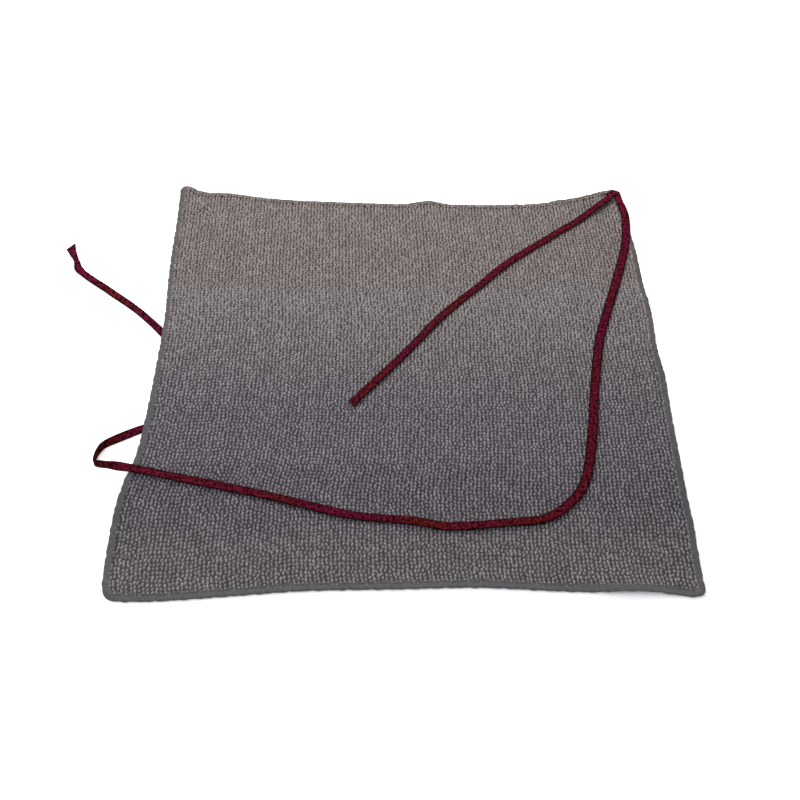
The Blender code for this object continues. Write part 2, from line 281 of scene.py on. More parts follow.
def ground_weave():
    """The woven ground that the loops grow from, in a plain weave, dark with painted shade as it lies deep
    between them.
    """
    material, tree, shader = new_finish("ground_weave", 0.98, 0.0, 0.6)
    place = add(tree, "ShaderNodeTexCoord").outputs["Object"]
    # Its shade is uneven, in patches 4 mm across
    shade = add(tree, "ShaderNodeTexNoise", {"Vector": place, "Scale": 1 / 0.004, "Detail": 3.0})
    # Its dark colours are partly its own and partly painted shade, for the depth between the loops
    yarn = add(
        tree,
        "ShaderNodeMix",
        {0: shade.outputs["Fac"], 6: linear(0x262425), 7: linear(0x403D3D)},
        data_type="RGBA",
    )
    # Painted shade: where the nap lies dark, less light reaches the ground too, so its tint counts twice
    tint = nap_tint_and_painted_light(tree, place)
    tree.links.new(tinted(tree, tinted(tree, yarn.outputs[2], tint), tint), shader.inputs["Base Color"])
    # The weave's threads, 0.6 mm apart. At a scale of 1 this texture's bands are 0.314 m apart
    weave = add(
        tree,
        "ShaderNodeTexWave",
        {"Vector": place, "Scale": 0.314 / 0.0006, "Distortion": 1.5},
        bands_direction="Y",
    )
    bump = add(tree, "ShaderNodeBump", {"Height": weave.outputs["Fac"], "Strength": 0.5, "Distance": 0.0001})
    tree.links.new(bump.outputs[0], shader.inputs["Normal"])
    return material


def textured_thread(name, dark, light, sheen, with_painted_light):
    """Textured polyester sewing thread: dull and soft, with a fine broken shade where its plies show."""
    material, tree, shader = new_finish(name, 0.8, sheen, 0.4)
    shader.inputs["Specular IOR Level"].default_value = 0.1
    place = add(tree, "ShaderNodeTexCoord").outputs["Object"]
    # The broken shade, in flecks 2.2 mm across
    shade = add(tree, "ShaderNodeTexNoise", {"Vector": place, "Scale": 1 / 0.0022, "Detail": 4.0})
    yarn = add(
        tree,
        "ShaderNodeMix",
        {0: shade.outputs["Fac"], 6: linear(dark), 7: linear(light)},
        data_type="RGBA",
    )
    # Threads on the towel take the nap's tint, which on them is painted light and shade along Y
    colour = tinted(tree, yarn.outputs[2], nap_tint_and_painted_light(tree, place)) if with_painted_light else yarn.outputs[2]
    tree.links.new(colour, shader.inputs["Base Color"])
    # The plies, 0.4 mm across so that they show
    ply = add(tree, "ShaderNodeTexNoise", {"Vector": place, "Scale": 1 / 0.0004, "Detail": 2.0})
    bump = add(tree, "ShaderNodeBump", {"Height": ply.outputs["Fac"], "Strength": 0.5, "Distance": 0.0002})
    tree.links.new(bump.outputs[0], shader.inputs["Normal"])
    return material


def twill_tape():
    """Maroon twill tape: diagonal ridges, selvedges darker towards their edges, and a dye that drifts from
    wine to rust.
    """
    material, tree, shader = new_finish("maroon_twill_tape", 0.75, 0.0, 0.4)
    shader.inputs["Specular IOR Level"].default_value = 0.02
    place = add(tree, "ShaderNodeTexCoord").outputs["Object"]
    weave = add(tree, "ShaderNodeAttribute", attribute_name="weave").outputs["Vector"]
    along, across, _ = add(tree, "ShaderNodeSeparateXYZ", {0: weave}).outputs
    # The dye, in patches 70 mm across
    drift = add(tree, "ShaderNodeTexNoise", {"Vector": place, "Scale": 1 / 0.070, "Detail": 1.0})
    drifted = add(
        tree, "ShaderNodeMapRange", {"Value": drift.outputs["Fac"], "From Min": 0.38, "From Max": 0.62}
    )
    dye = add(
        tree,
        "ShaderNodeMix",
        {0: drifted.outputs[0], 6: linear(0x3C0618), 7: linear(0x3A0B0A)},
        data_type="RGBA",
    )
    # It is fresher, and so pinker, at the tack
    from_tack = add(tree, "ShaderNodeVectorMath", {0: place, 1: (*TACK, UPPER_LAYER)}, operation="DISTANCE")
    worn = add(
        tree,
        "ShaderNodeMapRange",
        {"Value": from_tack.outputs["Value"], "From Min": 0.006, "From Max": 0.024},
    )
    dye = add(
        tree, "ShaderNodeMix", {0: worn.outputs[0], 6: linear(0x42081C), 7: dye.outputs[2]}, data_type="RGBA"
    )
    # Its speckle, 2.2 mm across
    speck = add(tree, "ShaderNodeTexNoise", {"Vector": place, "Scale": 1 / 0.0022, "Detail": 2.0})
    specked = add(
        tree,
        "ShaderNodeMapRange",
        {"Value": speck.outputs["Fac"], "From Min": 0.36, "From Max": 0.64, "To Min": 0.1, "To Max": 1.8},
    )
    # Each selvedge darkens towards its edge, from about half way out
    edge = add(tree, "ShaderNodeMath", {0: across}, operation="ABSOLUTE")
    selvedge = add(
        tree,
        "ShaderNodeMapRange",
        {"Value": edge.outputs[0], "From Min": 0.55, "From Max": 0.95, "To Min": 1.0, "To Max": 0.2},
        interpolation_type="SMOOTHSTEP",
    )
    both = add(tree, "ShaderNodeMath", {0: specked.outputs[0], 1: selvedge.outputs[0]}, operation="MULTIPLY")
    shade = add(
        tree, "ShaderNodeVectorMath", {0: dye.outputs[2], "Scale": both.outputs[0]}, operation="SCALE"
    )
    tree.links.new(shade.outputs[0], shader.inputs["Base Color"])
    # The threads that run across the tape, 0.4 mm apart
    thread = add(tree, "ShaderNodeMath", {0: along, 1: 2 * math.pi / 0.0004}, operation="MULTIPLY")
    ridge = add(tree, "ShaderNodeMath", {0: thread.outputs[0]}, operation="SINE")
    bump = add(tree, "ShaderNodeBump", {"Height": ridge.outputs[0], "Strength": 0.35, "Distance": 0.0001})
    tree.links.new(bump.outputs[0], shader.inputs["Normal"])
    return material


def studio_paper():
    """Matt white background paper, in a tone that hardly varies."""
    material, tree, shader = new_finish("studio_paper", 0.9, 0.0, 0.5)
    place = add(tree, "ShaderNodeTexCoord").outputs["Object"]
    grain = add(tree, "ShaderNodeTexNoise", {"Vector": place, "Scale": 1 / 0.02, "Detail": 2.0})
    tone = add(
        tree,
        "ShaderNodeMix",
        {0: grain.outputs["Fac"], 6: linear(0xFBFBFB), 7: linear(0xFFFFFF)},
        data_type="RGBA",
    )
    tree.links.new(tone.outputs[2], shader.inputs["Base Color"])
    return material


# ---------------------------------------- where the cloth lies


def fall(distance, slope):
    """1 at no distance, easing to 0 over the slope."""
    t = np.clip(distance / slope, 0, 1)
    return 1 - t * t * (3 - 2 * t)


def smoothstep(value, low, high):
    return 1 - fall(value - low, high - low)


def rise(x, y):
    """How far the cloth's underside is off the floor over the tape and at the sewn corner."""
    past_end = np.maximum(np.maximum(TUNNEL_NEAR - y, y - TUNNEL_FAR), 0)
    past_inner = np.maximum(x - LEFT_EDGE - TUNNEL_INNER, 0)
    tunnel = TUNNEL_RISE * fall(np.hypot(past_end, past_inner), TUNNEL_SLOPE)
    from_tack = np.hypot(x - TACK.x, y - TACK.y)
    return tunnel + TACK_RISE * fall(from_tack - TACK_PLATEAU, TACK_SLOPE)


def underside(x, y):
    """The cloth's underside, with its curled far corner and the arch in its near edge."""
    from_corner = np.hypot(x - CURLED_CORNER[0], y - CURLED_CORNER[1])
    curl = CURL_RISE * fall(from_corner, CURL_SLOPE)
    arch = ARCH_RISE * fall(np.abs(x - ARCH[0]), ARCH_LENGTH) * fall(y - ARCH[1], ARCH_DEPTH)
    return rise(x, y) + curl + arch


def hermite(points, step):
    """Points on a smooth curve through the given ones, about a step apart."""
    points = np.array(points, float)
    spread = points[:, : min(points.shape[1], 3)]
    gaps = np.linalg.norm(np.diff(spread, axis=0), axis=1)
    slopes = [(points[1] - points[0]) / gaps[0]]
    for i in range(1, len(points) - 1):
        slopes.append((points[i + 1] - points[i - 1]) / (gaps[i - 1] + gaps[i]))
    slopes.append((points[-1] - points[-2]) / gaps[-1])
    curve = [points[:1]]
    for i, gap in enumerate(gaps):
        count = max(round(gap / step), 1)
        t = (np.arange(1, count + 1) / count)[:, None]
        start = points[i] * (2 * t**3 - 3 * t**2 + 1) + slopes[i] * (gap * (t**3 - 2 * t**2 + t))
        end = points[i + 1] * (3 * t**2 - 2 * t**3) + slopes[i + 1] * (gap * (t**3 - t**2))
        curve.append(start + end)
    return np.concatenate(curve)


# Each side's line as (place along it, place across it) in millimetres, with the waves of its stitching's pull
LEFT_LINE = (
    (-203, -202.5), (-190, -205.5), (-160, -207), (-131, -207), (-112, -204.5), (-92, -199.2), (-60, -197),
    (0, -196.3), (50, -197), (81, -199.7), (116, -201.7), (152, -202.4), (203, -203.5),
)
RIGHT_LINE = (
    (-203, 204), (-193, 202.7), (-175, 203), (-158, 203.6), (-150, 204.2), (-125, 203.9), (-105, 204.3),
    (-75, 204.8), (-55, 205.2), (-32, 206.1), (-14, 206.8), (4, 205.6), (16, 205.2), (29, 205.8), (48, 206.7),
    (66, 206.5), (82, 205.1), (124, 204.9), (145, 203.6), (165, 202.4), (203, 201),
)
NEAR_LINE = (
    (-205, -202.6), (-180, -203), (-161, -202.4), (-118, -199.3), (-71, -195.9), (-4, -194.8), (51, -194),
    (104, -196.8), (146, -198.4), (170, -199), (190, -201), (205, -202.4),
)
FAR_LINE = (
    (-205, 205.3), (-197, 202), (-188, 197.4), (-178, 196), (-161, 197), (-150, 195.2), (-131, 191.4),
    (-112, 188.7), (-93, 186.8), (-74, 185.6), (-47, 183.8), (-20, 182.5), (2, 181.6), (14, 183.6), (25, 186),
    (33, 184.6), (43, 181.2), (60, 180.4), (76, 179.9), (92, 179.9), (108, 180.4), (122, 180.9), (135, 182.6),
    (146, 185.8), (165, 188.6), (178, 192.2), (190, 196.6), (205, 199.4),
)

# The lines are read every 2 mm. Three finer waves, each of this height in metres, are puckers at the stitches
LINE_STEP = 2
PUCKER = 0.00018


def line_at(line, places):
    """A side's place across, at each place along it."""
    along, across = (hermite(line, LINE_STEP) * MM).T
    pucker = np.sin(places / 0.0013) + np.sin(places / 0.0021 + 1) + np.sin(places / 0.0009 + 2)
    return np.interp(places, along, across) + PUCKER * pucker


def lie(x, y):
    """Places on the flat cut, moved to where they lie: round corners, and sides drawn in by stitching."""
    over_x = np.abs(x) - (WIDTH / 2 - CORNER_RADIUS)
    over_y = np.abs(y) - (DEPTH / 2 - CORNER_RADIUS)
    reach = np.maximum(np.hypot(over_x, over_y), 1e-9)
    squeeze = np.where((over_x > 0) & (over_y > 0), 1 - np.maximum(over_x, over_y) / reach, 0)
    x = x - np.sign(x) * over_x * squeeze
    y = y - np.sign(y) * over_y * squeeze
    u = x / WIDTH + 0.5
    v = y / DEPTH + 0.5
    placed_x = line_at(LEFT_LINE, y) * (1 - u) + line_at(RIGHT_LINE, y) * u
    placed_y = line_at(NEAR_LINE, x) * (1 - v) + line_at(FAR_LINE, x) * v
    return placed_x, placed_y


def laid(x, y, height):
    """Places on the flat cut, at a height in the cloth, as points of the towel where it lies."""
    x, y = lie(np.asarray(x, float), np.asarray(y, float))
    return np.stack([x, y, underside(x, y) + height], axis=-1)


# ---------------------------------------- the camera


def make_camera():
    data = bpy.data.cameras.new("camera")
    data.lens = 41.01
    data.sensor_width = 36
    camera = add_object("camera", data)
    camera.location = (-0.0049, -0.4482, 0.5767)
    camera.rotation_euler = (math.radians(35.485), 0, math.radians(-0.301))
    bpy.context.scene.camera = camera


# ---------------------------------------- the tie tape


def on_cloth(x, y):
    """The height of the tape's middle where it lies on the cloth."""
    return OVER_CLOTH + float(rise(x, y))


def short_route():
    """From the swing point, down off the sewn layers and diagonally over the towel, as (x, y, z, roll)."""
    start = SWING_POINT + 0.0004 * SHORT_DIRECTION
    high = TAIL_LAYER + TAPE_THICKNESS / 2
    route = [(start.x, start.y, high, 0)]
    for along in (0.008, 0.016):
        place = SWING_POINT + along * SHORT_DIRECTION
        route.append((place.x, place.y, high, 0))
    # Offsets from the towel's corner, in millimetres
    for x, y in (
        (-49, -48), (-65, -60), (-80, -71.5), (-95, -83), (-110, -95), (-125, -109), (-139, -124),
        (-154, -138.5), (-168, -153), (-181, -168), (-194, -185), (-207, -201.5), (-220, -217),
        (-245, -246.5),
    ):
        place = CORNER + Vector((x, y)) * MM
        route.append((place.x, place.y, on_cloth(place.x, place.y), 0))
    return route


def long_route():
    """Down the right side, round over the near part, over the left edge, back under it and out again."""
    start = TACK + (FIXED_LONG + CLEARANCE) * LONG_DIRECTION
    onward = TACK + Vector((3.1, -27.5)) * MM
    route = [
        (start.x, start.y, LOWER_LAYER + TAPE_THICKNESS / 2, 0),
        (onward.x, onward.y, on_cloth(onward.x, onward.y), 0),
    ]
    # Offsets from the towel's corner, in millimetres
    for x, y in (
        (-5.2, -55), (-9.2, -77), (-18, -105.5), (-37.4, -159.5), (-46, -185), (-56.2, -234), (-64, -279),
        (-74.8, -319), (-90.2, -337.5), (-106.5, -347), (-129, -349.5), (-174.5, -352.6), (-197, -348.4),
    ):
        place = CORNER + Vector((x, y)) * MM
        route.append((place.x, place.y, on_cloth(place.x, place.y), 0))
    # Offsets from the left edge's line and from the origin, in millimetres
    for x, y in ((167, -139.6), (110, -124.4), (75, -116), (40, -108.4), (9, -101.4)):
        x, y = LEFT_EDGE + x * MM, y * MM
        route.append((x, y, on_cloth(x, y), 0))
    over_edge = on_cloth(LEFT_EDGE, -0.0985)
    for x, y, height, roll in (
        (-4, -98.9, over_edge * 0.92, -22),
        (-12, -97.2, ON_EDGE + 0.0004, -62),
        (-18.9, -96, ON_EDGE, -66),
        (-22.9, -95.2, ON_EDGE, -76),
        (-23.7, -94.4, ON_EDGE, -85),
        (-23, -87, ON_EDGE, -94),
        (-19.8, -80.4, 0.0034, -110),
        (-12.8, -75, 0.0029, -132),
        (4.2, -64.8, 0.0013, -165),
        (10.2, -61.2, ON_FLOOR, -180),
        (30, -49, ON_FLOOR, -180),
        (36.5, -30, ON_FLOOR, -180),
        (21, 13.5, ON_FLOOR, -180),
        (-9, 48.8, ON_FLOOR, -180),
        (-45, 78.5, ON_FLOOR, -180),
        (-65, 93.9, ON_FLOOR, -180),
        (-74.6, 102.8, 0.0011, -170),
        (-77.3, 110.3, 0.0018, -156),
        (-83, 120.8, 0.0014, -164),
        (-87, 130, 0.0009, -174),
    ):
        route.append((LEFT_EDGE + x * MM, y * MM, height, roll))
    return route


# The tape's section, as shares of its half width and half thickness: flat faces and rounded selvedges
SECTION_TOP = [
    (-0.97, 0.55), (-0.86, 1), (-0.62, 0.92), (-0.25, 0.96), (0.1, 1), (0.5, 0.94), (0.86, 1), (0.97, 0.55),
]
SECTION = np.array(SECTION_TOP + [(1, 0)] + [(u, -w) for u, w in reversed(SECTION_TOP)] + [(-1, 0)])
STRIP_STEP = 0.00032


def twill(along, across):
    """The height of the weave's diagonal ridges, as a share of the half thickness."""
    phase = along / TWILL_PITCH + across * 1.4
    return 0.10 * np.sin(2 * math.pi * phase) * (1 - across**4)


def ring_faces(rings, around, closed):
    """The faces between rings of points, and between the last ring and the first where they close."""
    faces = []
    for i in range(rings if closed else rings - 1):
        here, there = i * around, (i + 1) % rings * around
        for j in range(around):
            k = (j + 1) % around
            faces.append((here + j, here + k, there + k, there + j))
    return faces


def strip_mesh(name, points):
    """The closed mesh of a strip, from its points as an array of (rings, points of the section, 3)."""
    rings, around, _ = points.shape
    faces = ring_faces(rings, around, closed=False)
    faces.append(tuple(range(around)))
    faces.append(tuple((rings - 1) * around + j for j in reversed(range(around))))
    return mesh_of(name, points.reshape(-1, 3), faces)


def make_tail(name, route, width_at, thickness_at, drop_at, slant, finish, seed):
    """A length of tape along a route, cut at a slant.

    width_at gives its share of the full width at a distance from its cut end, thickness_at its share of the
    full thickness at a distance from its start, and drop_at how far it lies below its route there.
    """
    curve = hermite(route, STRIP_STEP)
    places, roll = curve[:, :3].copy(), np.radians(curve[:, 3])
    steps = np.linalg.norm(np.diff(places, axis=0), axis=1)
    along = np.concatenate([[0], np.cumsum(steps)])
    places[:, 2] -= drop_at(along)
    tangent = np.gradient(places, axis=0)
    tangent /= np.linalg.norm(tangent, axis=1)[:, None]
    side = np.cross((0, 0, 1), tangent)
    side /= np.linalg.norm(side, axis=1)[:, None]
    upward = np.cross(tangent, side)
    # A limp tape has a slow twist and a slight cupping, under 0.1 mm high, and its width varies by 3 %
    rng = np.random.default_rng(seed)
    phases = rng.uniform(0, 2 * math.pi, 4)
    twist = roll + 0.020 * np.sin(along / 0.011 + phases[0]) * np.sin(along / 0.037 + phases[1])
    cup = 0.00008 * np.sin(along / 0.019 + phases[2])
    wide = 1 + 0.03 * np.sin(along / 0.013 + phases[3])
    turned = side * np.cos(twist)[:, None] + upward * np.sin(twist)[:, None]
    normal = np.cross(tangent, turned)
    across, depth = SECTION[:, 0], SECTION[:, 1]
    from_end = along[-1] - along
    half_width = TAPE_WIDTH / 2 * width_at(from_end) * wide
    cut = slant * fall(from_end, 0.010)
    ridges = twill(along[:, None], across[None, :])
    half_depth = TAPE_THICKNESS / 2 * thickness_at(along)
    height = half_depth[:, None] * (depth[None, :] + ridges * np.sign(depth)[None, :])
    height = height + cup[:, None] * (across[None, :] ** 2 - 0.5)
    points = (
        places[:, None, :]
        + turned[:, None, :] * (half_width[:, None] * across[None, :])[:, :, None]
        + normal[:, None, :] * height[:, :, None]
        + tangent[:, None, :] * (cut[:, None] * across[None, :])[:, :, None]
    )
    mesh = strip_mesh(name, points)
    weave = np.stack(np.broadcast_arrays(along[:, None], across[None, :], 0.0), axis=-1)
    store(mesh, "weave", "FLOAT_VECTOR", weave)
    return add_object(name, mesh, finish), places, along[-1]


def make_fray(name, end, before, spread, slant, length, count, finish, seed):
    """The loose threads at a cut end, fanned out from across the tape."""
    end, before = Vector(end), Vector(before)
    onward = (end - before).normalized()
    aside = Vector((0, 0, 1)).cross(onward).normalized()
    chance = random.Random(seed)
    curve = bpy.data.curves.new(name, "CURVE")
    curve.dimensions = "3D"
    curve.bevel_depth = FRAY_RADIUS
    curve.bevel_resolution = 1
    curve.use_fill_caps = True
    for number in range(count):
        share = 2 * (number + 0.5) / count - 1
        reach = length * chance.uniform(0.35, 1)
        out = (onward + aside * share * chance.uniform(0.1, 0.6)).normalized()
        root = end + aside * share * spread - onward * (0.0004 + slant * share)
        lift = Vector((0, 0, chance.uniform(-0.00015, 0.00025)))
        thread = curve.splines.new("POLY")
        thread.points.add(3)
        for k, point in enumerate(thread.points):
            t = k / 3
            sway = aside * chance.uniform(-0.00012, 0.00012) * k
            point.co = (*(root + out * reach * t + lift + sway), 1)
            point.radius = 1 - 0.45 * t
    made = made_plain(add_object(name, curve, finish))
    made.data.shade_smooth()
    return made


def make_fold(finish):
    """The middle of the tape, folded to a point at the corner: the long arm below, the short arm over it."""
    incoming = LONG_HEADING + math.pi
    fold_line = (incoming + SHORT_HEADING) / 2
    outward = Vector((math.cos(fold_line - math.pi / 2), math.sin(fold_line - math.pi / 2)))
    if outward.dot(Vector((1, 1))) < 0:
        outward = -outward
    tip = TACK + outward * FOLD_REACH
    onward = Vector((math.cos(incoming), math.sin(incoming)))
    aside = Vector((-onward.y, onward.x))
    radius = TAPE_THICKNESS / 2
    low = LOWER_LAYER + TAPE_THICKNESS / 2
    crossing = (tip - TACK).dot(outward) / onward.dot(outward)
    total = FIXED_LONG + 2 * crossing + FIXED_SHORT + 0.0016
    along = np.arange(0, total, STRIP_STEP)
    across, depth = SECTION[:, 0], SECTION[:, 1]
    flat_along = along[:, None] - FIXED_LONG + 0 * across[None, :]
    flat_across = TAPE_WIDTH / 2 * across[None, :] + 0 * flat_along
    ridges = twill(along[:, None], across[None, :])
    thick = TAPE_THICKNESS / 2 * 0.94 * (depth[None, :] + ridges * np.sign(depth)[None, :])
    flat = (
        np.array(TACK)[None, None, :]
        + flat_along[..., None] * np.array(onward)
        + flat_across[..., None] * np.array(aside)
    )
    past = (flat - np.array(tip)) @ np.array(outward)
    turn = np.clip(past / radius, 0, math.pi)
    reach = radius - thick
    beyond = np.where(turn < math.pi, reach * np.sin(turn), -(past - math.pi * radius))
    placed = np.where(past < 0, past, beyond)
    height = low + radius - np.where(past < 0, radius - thick, reach * np.cos(turn))
    flat = flat + (placed - past)[..., None] * np.array(outward)
    points = np.concatenate([flat, height[..., None]], axis=-1)
    mesh = strip_mesh("tape_fold_sewn", points)
    weave = np.stack(np.broadcast_arrays(along[:, None], across[None, :], 0.0), axis=-1)
    store(mesh, "weave", "FLOAT_VECTOR", weave)
    return add_object("tape_fold_sewn", mesh, finish)


def make_tails(tape):
    """The two free lengths of the tape, and the frayed threads at their cut ends.

    Each widens at its cut end. The short one is pressed thin at its root, and the long one narrows to a neck
    near its end.
    """
    short, short_path, short_length = make_tail(
        "short_tail_tape",
        short_route(),
        lambda left: 1 + 0.16 * fall(left, 0.0085),
        lambda s: 0.35 + 0.65 * smoothstep(s, 0, 0.006),
        lambda s: 0.0006 * (1 - smoothstep(s, 0, 0.009)),
        0.0006,
        tape,
        seed=3,
    )
    long, long_path, long_length = make_tail(
        "long_tail_tape",
        long_route(),
        lambda left: 1 - 0.24 * fall(np.abs(left - 0.019), 0.010) + 0.30 * fall(left, 0.008)
        + 0.16 * fall(np.abs(left - 0.031), 0.006) + 0.12 * smoothstep(left, 0.63, 0.70),
        lambda s: 1 + 0 * s,
        lambda s: 0 * s,
        0.0026,
        tape,
        seed=4,
    )
    short_end, short_before = short_path[-1], short_path[-8]
    short_fray = make_fray(
        "short_tail_fray", short_end, short_before,
        spread=0.0032, slant=-0.0006, length=0.0022, count=15, finish=tape, seed=5,
    )
    long_end, long_before = long_path[-1], long_path[-8]
    long_fray = make_fray(
        "long_tail_fray", long_end, long_before,
        spread=0.0037, slant=0.0026, length=0.0020, count=15, finish=tape, seed=6,
    )
    for piece in (short, short_fray):
        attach(piece, "short_tail")
    for piece in (long, long_fray):
        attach(piece, "towel")
    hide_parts("short_tail")
    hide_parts("long_tail")


# ---------------------------------------- what repeats


def new_tree(name, sockets):
    """A Geometry Nodes tree with a geometry in and out, and its other inputs by name and kind."""
    tree = bpy.data.node_groups.new(name, "GeometryNodeTree")
    tree.interface.new_socket("Geometry", in_out="INPUT", socket_type="NodeSocketGeometry")
    for label, kind in sockets.items():
        tree.interface.new_socket(label, in_out="INPUT", socket_type="NodeSocket" + kind)
    tree.interface.new_socket("Geometry", in_out="OUTPUT", socket_type="NodeSocketGeometry")
    return tree, add(tree, "NodeGroupInput").outputs


def end_tree(tree, instances, finish):
    """Ends a tree: the instances made real, shaded smooth and given their finish."""
    real = add(tree, "GeometryNodeRealizeInstances", {0: instances})
    smooth = add(tree, "GeometryNodeSetShadeSmooth", {0: real.outputs[0]})
    finished = add(tree, "GeometryNodeSetMaterial", {"Geometry": smooth.outputs[0], "Material": finish})
    add(tree, "NodeGroupOutput", {0: finished.outputs[0]})


def grow(name, carrier, tree, values):
    """Runs a tree on a carrier mesh, and keeps the result as a plain mesh."""
    made = add_object(name, carrier)
    modifier = made.modifiers.new(tree.name, "NODES")
    modifier.node_group = tree
    for item in tree.interface.items_tree:
        if item.in_out == "INPUT" and item.name in values:
            modifier[item.identifier] = values[item.name]
    return made_plain(made)


def loop_tree():
    """Terry loops: a bent piece of yarn on each point of the carrier, each a little out of line."""
    tree, given = new_tree(
        "terry loops",
        {
            "Length": "Float", "Height": "Float", "Yarn": "Float", "Rings": "Int", "Sides": "Int",
            "Wander": "Float", "Swing": "Float", "Lean": "Float", "Seed": "Int", "Finish": "Material",
        },
    )
    half = add(tree, "ShaderNodeMath", {0: given["Length"], 1: 0.5}, operation="MULTIPLY").outputs[0]
    back = add(tree, "ShaderNodeMath", {0: half, 1: -1.0}, operation="MULTIPLY").outputs[0]
    peak = add(tree, "ShaderNodeMath", {0: given["Height"], 1: 2.0}, operation="MULTIPLY").outputs[0]
    arch = add(
        tree,
        "GeometryNodeCurveQuadraticBezier",
        {
            "Resolution": given["Rings"],
            "Start": add(tree, "ShaderNodeCombineXYZ", {"Y": back}).outputs[0],
            "Middle": add(tree, "ShaderNodeCombineXYZ", {"Z": peak}).outputs[0],
            "End": add(tree, "ShaderNodeCombineXYZ", {"Y": half}).outputs[0],
        },
    )
    # The yarn is thickest at the loop's top, and runs in at both ends
    share = add(tree, "GeometryNodeSplineParameter").outputs["Factor"]
    turn_share = add(
        tree, "ShaderNodeMath", {0: share, 1: math.pi * 0.72, 2: math.pi * 0.14}, operation="MULTIPLY_ADD"
    )
    thickness = add(tree, "ShaderNodeMath", {0: turn_share.outputs[0]}, operation="SINE")
    arch = add(tree, "GeometryNodeSetCurveRadius", {"Curve": arch.outputs[0], "Radius": thickness.outputs[0]})
    round_yarn = add(
        tree, "GeometryNodeCurvePrimitiveCircle", {"Resolution": given["Sides"], "Radius": given["Yarn"]}
    )
    loop = add(
        tree,
        "GeometryNodeCurveToMesh",
        {"Curve": arch.outputs[0], "Profile Curve": round_yarn.outputs[0], "Fill Caps": True},
    )
    wander = add(tree, "ShaderNodeMath", {0: given["Wander"], 1: -1.0}, operation="MULTIPLY").outputs[0]
    shift = add(
        tree,
        "FunctionNodeRandomValue",
        {0: (-1, -1, -0.2), 1: (1, 1, 0.2), "Seed": given["Seed"]},
        data_type="FLOAT_VECTOR",
    )
    shifted = add(tree, "ShaderNodeVectorMath", {0: shift.outputs[0], "Scale": wander}, operation="SCALE")
    moved = add(
        tree, "GeometryNodeSetPosition", {"Geometry": given["Geometry"], "Offset": shifted.outputs[0]}
    )
    other_seed = add(tree, "FunctionNodeIntegerMath", {0: given["Seed"], 1: 7}, operation="ADD").outputs[0]
    tilt = add(
        tree,
        "FunctionNodeRandomValue",
        {0: (-1, -1, -1), 1: (1, 1, 1), "Seed": other_seed},
        data_type="FLOAT_VECTOR",
    )
    amount = add(tree, "ShaderNodeCombineXYZ", {"X": given["Lean"], "Y": given["Lean"], "Z": given["Swing"]})
    turn = add(tree, "ShaderNodeVectorMath", {0: tilt.outputs[0], 1: amount.outputs[0]}, operation="MULTIPLY")
    third_seed = add(tree, "FunctionNodeIntegerMath", {0: given["Seed"], 1: 13}, operation="ADD").outputs[0]
    any_size = add(tree, "FunctionNodeRandomValue", {2: 0.90, 3: 1.08, "Seed": third_seed}).outputs[1]
    fluff = add(tree, "GeometryNodeInputNamedAttribute", {"Name": "fluff"}, data_type="FLOAT").outputs[0]
    size = add(tree, "ShaderNodeMath", {0: any_size, 1: fluff}, operation="MULTIPLY")
    placed = add(
        tree,
        "GeometryNodeInstanceOnPoints",
        {
            "Points": moved.outputs[0],
            "Instance": loop.outputs[0],
            "Rotation": turn.outputs[0],
            "Scale": size.outputs[0],
        },
    )
    last_seed = add(tree, "FunctionNodeIntegerMath", {0: given["Seed"], 1: 29}, operation="ADD").outputs[0]
    shade = add(tree, "FunctionNodeRandomValue", {2: 0.0, 3: 1.0, "Seed": last_seed})
    toned = add(
        tree,
        "GeometryNodeStoreNamedAttribute",
        {"Geometry": placed.outputs[0], "Name": "tone", "Value": shade.outputs[1]},
        domain="INSTANCE",
    )
    end_tree(tree, toned.outputs[0], given["Finish"])
    return tree


def stitch_tree():
    """A run of stitches: one stitch at each pitch along the carrier's line, turned to follow it."""
    tree, given = new_tree(
        "run of stitches",
        {"Stitch": "Object", "Pitch": "Float", "Swing": "Float", "Seed": "Int", "Finish": "Material"},
    )
    line = add(tree, "GeometryNodeMeshToCurve", {0: given["Geometry"]})
    spaced = add(
        tree, "GeometryNodeResampleCurve", {"Curve": line.outputs[0], "Length": given["Pitch"]}, mode="LENGTH"
    )
    stitch = add(tree, "GeometryNodeObjectInfo", {"Object": given["Stitch"], "As Instance": True})
    tangent = add(tree, "GeometryNodeInputTangent")
    facing = add(
        tree, "FunctionNodeAlignRotationToVector", {"Vector": tangent.outputs[0]}, axis="X", pivot_axis="Z"
    )
    back = add(tree, "ShaderNodeMath", {0: given["Swing"], 1: -1.0}, operation="MULTIPLY").outputs[0]
    wobble = add(tree, "FunctionNodeRandomValue", {2: back, 3: given["Swing"], "Seed": given["Seed"]})
    about = add(tree, "ShaderNodeCombineXYZ", {"Z": wobble.outputs[1]})
    turned = add(
        tree,
        "FunctionNodeRotateRotation",
        {0: facing.outputs[0], 1: about.outputs[0]},
        rotation_space="LOCAL",
    )
    placed = add(
        tree,
        "GeometryNodeInstanceOnPoints",
        {"Points": spaced.outputs[0], "Instance": stitch.outputs["Geometry"], "Rotation": turned.outputs[0]},
    )
    end_tree(tree, placed.outputs[0], given["Finish"])
    return tree


def tube(name, line, radius, sides, closed=False):
    """A small mesh tube along a line of points, for one stitch."""
    curve = bpy.data.curves.new(name, "CURVE")
    curve.dimensions = "3D"
    spline = curve.splines.new("POLY")
    spline.points.add(len(line) - 1)
    for point, place in zip(spline.points, line):
        point.co = (*place, 1)
    spline.use_cyclic_u = closed
    curve.bevel_depth = radius
    curve.bevel_resolution = (sides - 4) // 2
    curve.use_fill_caps = True
    return made_plain(add_object(name, curve))


# ---------------------------------------- the terry


